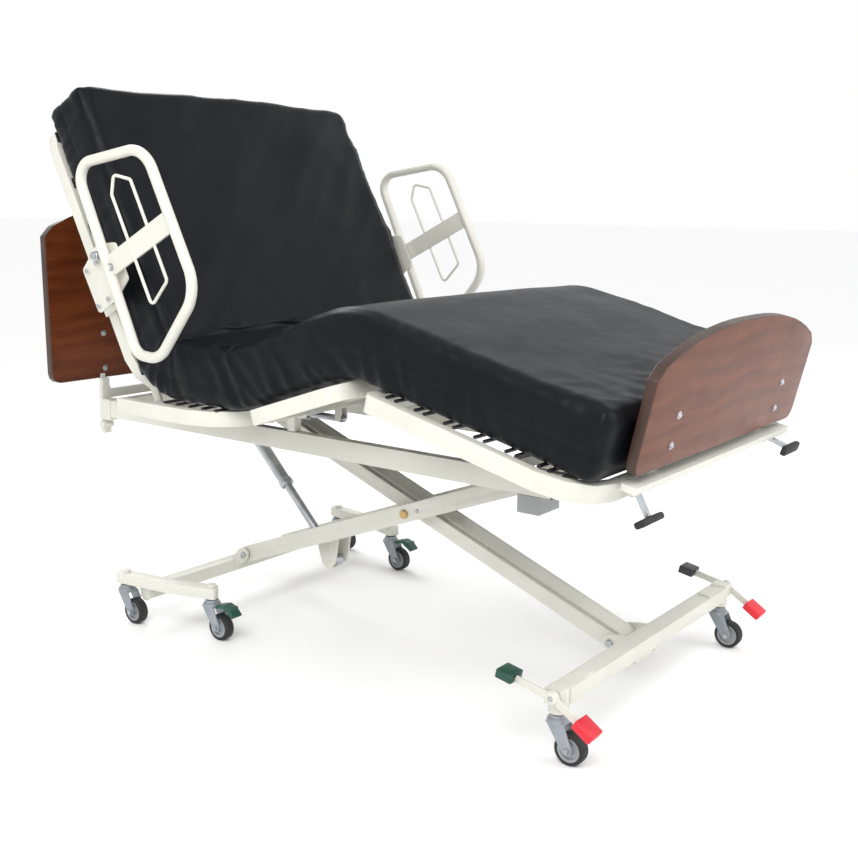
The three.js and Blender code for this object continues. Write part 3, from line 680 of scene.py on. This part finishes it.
def section_outline(per_side=66, per_wall=14, per_corner=9):
    """The cushion's cross section as (side, height) pairs in metres, round the whole outline."""
    points = []
    top, low = THICK - EDGE_RADIUS, 0.030
    across = HALF_WIDTH - EDGE_RADIUS
    for k in range(per_side):
        points.append((-across + 2 * across * k / per_side, THICK))
    for k in range(per_corner):
        a = math.radians(90 - 90 * k / per_corner)
        points.append((across + EDGE_RADIUS * math.cos(a), top + EDGE_RADIUS * math.sin(a)))
    for k in range(per_wall):
        points.append((HALF_WIDTH, top - (top - low) * k / per_wall))
    for k in range(per_corner):
        a = math.radians(-90 * k / per_corner)
        points.append((HALF_WIDTH - low + low * math.cos(a), low + low * math.sin(a)))
    for k in range(per_side // 2):
        points.append((HALF_WIDTH - low - 2 * (HALF_WIDTH - low) * k / (per_side // 2), 0.0))
    for k in range(per_corner):
        a = math.radians(-90 - 90 * k / per_corner)
        points.append((-HALF_WIDTH + low + low * math.cos(a), low + low * math.sin(a)))
    for k in range(per_wall):
        points.append((-HALF_WIDTH, low + (top - low) * k / per_wall))
    for k in range(per_corner):
        a = math.radians(180 - 90 * k / per_corner)
        points.append((-across + EDGE_RADIUS * math.cos(a), top + EDGE_RADIUS * math.sin(a)))
    return points


def near(value, centre, spread):
    return math.exp(-((value - centre) / spread) ** 2)


def ridge(x, y, z):
    """A sharp-crested wrinkle field from -1 to 1."""
    return 1 - 2 * abs(noise.noise(Vector((x, y, z))))


def cover_relief(along, y, height, folds, total):
    """How far the cover stands off the plain cushion at a point of its surface, in metres."""
    back, knee, shank = folds
    top = min(1.0, max(0.0, (height - 0.11) / 0.04))
    side = min(1.0, max(0.0, (abs(y) - 0.45) / 0.08))
    rise = 0.007 * noise.noise(Vector((along * 2.6, y * 2.2, 3.7)))
    rise += 0.0035 * noise.noise(Vector((along * 7, y * 5, 8.1)))
    on_back = 1 / (1 + math.exp((along - back + 0.12) / 0.05))
    slant = along * 0.75 + y * 0.66
    rise += on_back * top * 0.0100 * ridge(slant * 4.4, (along - y) * 0.9, 1.3)
    rise += on_back * top * 0.0042 * ridge(slant * 10.0, (along - y) * 2.0, 5.1)
    seat = near(along, back, 0.11)
    rise -= top * 0.0085 * near(along, back - 0.02, 0.014) * (0.6 + 0.4 * noise.noise(Vector((y * 5, 0, 2))))
    rise += top * seat * 0.0070 * math.sin(y * 31 + 4.5 * noise.noise(Vector((y * 4, along * 3, 6))))
    rise += top * near(along, knee, 0.09) * 0.0035 * ridge(along * 14, y * 2.4, 9.7)
    lower = 1 - min(1.0, max(0.0, (height - 0.035) / 0.05))
    gather = ridge(along * 24 + height * 9, height * 5, 2.2 + math.copysign(1.0, y))
    rise += side * (0.0018 + 0.0052 * lower) * gather
    rise += side * 0.0075 * (near(along, back, 0.14) + 0.8 * near(along, knee,
                                                                  0.12)) * ridge(along * 15 + height * 8,
                                                                                 height * 5, 4)
    seam = near(height, 0.064, 0.0035)
    rise -= side * 0.0026 * seam
    corner = near(total - along, 0, 0.16)
    rise += corner * 0.0065 * ridge(along * 15, y * 15, height * 12)
    return rise


def make_mattress():
    xs, zs, headings, folds, total = rounded_path(underside_corners(), FOLD_RADII)
    outline = section_outline()
    ring = len(outline)
    stations = len(xs)
    places = np.zeros((stations, ring, 3))
    middle = THICK / 2
    lengths = np.linspace(0, total, stations)
    for i in range(stations):
        cos, sin = math.cos(headings[i]), math.sin(headings[i])
        from_end = min(lengths[i], total - lengths[i])
        closing = min(1.0, from_end / END_RADIUS)
        shrink = math.sqrt(max(0.0, 1 - (1 - closing) ** 2))
        for k, (y, height) in enumerate(outline):
            inset = END_RADIUS * (1 - shrink)
            side_y = math.copysign(max(0.0, abs(y) - inset * min(1.0, abs(y) / 0.3)), y)
            lift = middle + (height - middle) * (1 - 0.36 * (1 - shrink))
            crown = 0.010 * (1 - (y / HALF_WIDTH) ** 2) if height > middle else 0.0
            relief = cover_relief(lengths[i], y, height, folds, total) if height > 0.001 else 0.0
            belly = 0.006 * math.sin(math.pi * height / THICK)
            out_y = math.copysign(relief + belly, y) if abs(y) > HALF_WIDTH - 0.012 else 0.0
            out_n = crown + (relief if height > THICK - EDGE_RADIUS * 0.8 else 0.0)
            lift += out_n
            places[i, k] = (xs[i] - sin * lift, side_y + out_y, zs[i] + cos * lift)
    return places, folds, lengths


def close_ends(places):
    """The end rings drawn in to a point in a few dense steps, so the ends are padded rather than cut."""
    rings = []
    for end, inner in ((places[0], places[1]), (places[-1], places[-2])):
        centre = end.mean(0)
        outward = end.mean(0) - inner.mean(0)
        outward /= np.linalg.norm(outward)
        made = []
        for k in range(1, END_RINGS + 1):
            part = k / END_RINGS
            scale = 1 - part ** 1.6
            bulge = 0.007 * math.sin(math.pi * min(1, part * 1.2) / 2) ** 0.7
            made.append(centre + (end - centre) * max(scale, 0.002) + outward * bulge)
        rings.append(made)
    return np.concatenate([np.array(rings[0][::-1]), places, np.array(rings[1])])


def dress_mattress():
    places, folds, lengths = make_mattress()
    first_cut = int(np.searchsorted(lengths, folds[0] + BACK_CUT_PAST_FOLD)) + END_RINGS
    second_cut = int(np.searchsorted(lengths, (folds[1] + folds[2]) / 2)) + END_RINGS
    whole = close_ends(places)
    rings, around, _ = whole.shape
    normals = surface_normals(whole)
    spans = [("mattress_back", 0, first_cut, "backrest", "carriage", BACK_HINGE,
              ("back_cushion", "seat_cushion")),
             ("mattress_seat", first_cut, second_cut, "carriage", "thigh", THIGH_HINGE, ("thigh_cushion",)),
             ("mattress_foot", second_cut, rings - 1, "thigh", "foot", FOOT_HINGE, ("foot_cushion",))]
    for name, start, stop, first, second, hinge, nodes in spans:
        block = whole[start:stop + 1].reshape(-1, 3)
        faces = []
        for i in range(stop - start):
            for k in range(around):
                ahead = (k + 1) % around
                faces.append((i * around + k, (i + 1) * around + k, (i + 1) * around + ahead,
                              i * around + ahead))
        mesh = bpy.data.meshes.new(name)
        mesh.from_pydata(block.tolist(), [], faces)
        mesh.polygons.foreach_set("use_smooth", [True] * len(mesh.polygons))
        piece = link_mesh(name, mesh)
        mesh.materials.append(MATERIALS["black_fabric"])
        kept = np.zeros_like(whole[start:stop + 1])
        for edge, cut_here in ((0, start > 0), (-1, stop < rings - 1)):
            if cut_here:
                kept[edge] = normals[start if edge == 0 else stop]
        mesh.normals_split_custom_set_from_vertices(kept.reshape(-1, 3).tolist())
        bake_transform(piece)
        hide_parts(*nodes)


def surface_normals(whole):
    """Outward unit normals of the closed tube of rings."""
    around = np.roll(whole, -1, 1) - np.roll(whole, 1, 1)
    along = np.gradient(whole, axis=0)
    normals = np.cross(along, around)
    normals /= np.linalg.norm(normals, axis=2, keepdims=True) + 1e-12
    centre = whole.mean(1, keepdims=True)
    if ((whole - centre) * normals).sum() < 0:
        normals = -normals
    return normals


# ---- the whole bed ----

PANELS = ("headboard", "footboard")
DRESSED_ELSEWHERE = ("cushion", "caster_fork", "caster_wheel", "assist_rail", "assist_bracket", "latch_knob",
                     "lift_actuator_tube", "lift_actuator_rod", "scissor_pivot_pin")
EDGE_WIDTHS = {"main_frame": 0.0030, "headboard_posts": 0.0022, "control_box": 0.004, "head_base": 0.0030,
               "foot_crossbar": 0.0030, "outer_lift_arm": 0.0030, "inner_lift_arm": 0.0030,
               "backrest_frame": 0.0028, "thigh_frame": 0.0024, "foot_frame": 0.0028, "seat_frame": 0.0024,
               "footboard_bracket": 0.0020, "back_slats": 0.0008, "seat_slats": 0.0008, "foot_slats": 0.0008}


def plain_nodes():
    """The CAD nodes that only need their edges rounded, the panels' posts and bracket among them."""
    return [node for node in frame["nodes"]
            if node not in PANELS and not any(word in node for word in DRESSED_ELSEWHERE)]


def dress_plain_nodes():
    for node in plain_nodes():
        width = EDGE_WIDTHS.get(node, 0.0014)
        material = None
        if node.endswith(("unlock_pad", "lock_pad")):
            width = 0.006
            material = "dark_plastic" if node == "left_unlock_pad" else None
        elif node.endswith("foot_lever_pad"):
            width = 0.006
        elif node.endswith("lock_pedal"):
            width = 0.003
        refine(node, width, material)


FOOT_PANEL_TILT = math.radians(12.3)
FOOT_PANEL_CORNER = Vector((0.983 - 0.04674, 0, 0.687))


def panel_point(x, y, z):
    """A point in millimetres in the foot panel's own flat frame."""
    cos, sin = math.cos(FOOT_PANEL_TILT), math.sin(FOOT_PANEL_TILT)
    return FOOT_PANEL_CORNER + Vector(((x * cos + z * sin) / 1000, y / 1000, (-x * sin + z * cos) / 1000))


def dress_panels():
    foot_out = Vector((math.cos(FOOT_PANEL_TILT), 0, -math.sin(FOOT_PANEL_TILT)))
    foot_bolts = [panel_point(25.2, y, z) for y in (-305, 305) for z in (48, 118)]
    dress_board("footboard", "foot", foot_out, foot_bolts)
    low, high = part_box("headboard")
    head_bolts = [(high.x, y, z) for y in (-0.262, 0.262) for z in (0.706, 0.817)]
    dress_board("headboard", "deck_frame", (1, 0, 0), head_bolts)


def dress_ends():
    low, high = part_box("main_frame")
    for side in (-1, 1):
        name = "right" if side < 0 else "left"
        y0, y1 = sorted((side * 0.2598, side * 0.2902))
        end_cap(name + "_rail_cap", (high.x - 0.0715, y0, 0.5555), (high.x - 0.0660, y1, 0.6105),
                "deck_frame")


make_camera()
make_studio()
MATERIALS = make_materials()
SLOTS = set(SLOT_OF.values())
dress_plain_nodes()
for side_name, side_sign in (("right", -1), ("left", 1)):
    for corner in ("foot", "mid", "head"):
        dress_caster(f"{side_name}_{corner}")
    dress_assist_rail(side_name, side_sign)
dress_panels()
dress_lift_actuator()
dress_pivots()
dress_ends()
dress_mattress()
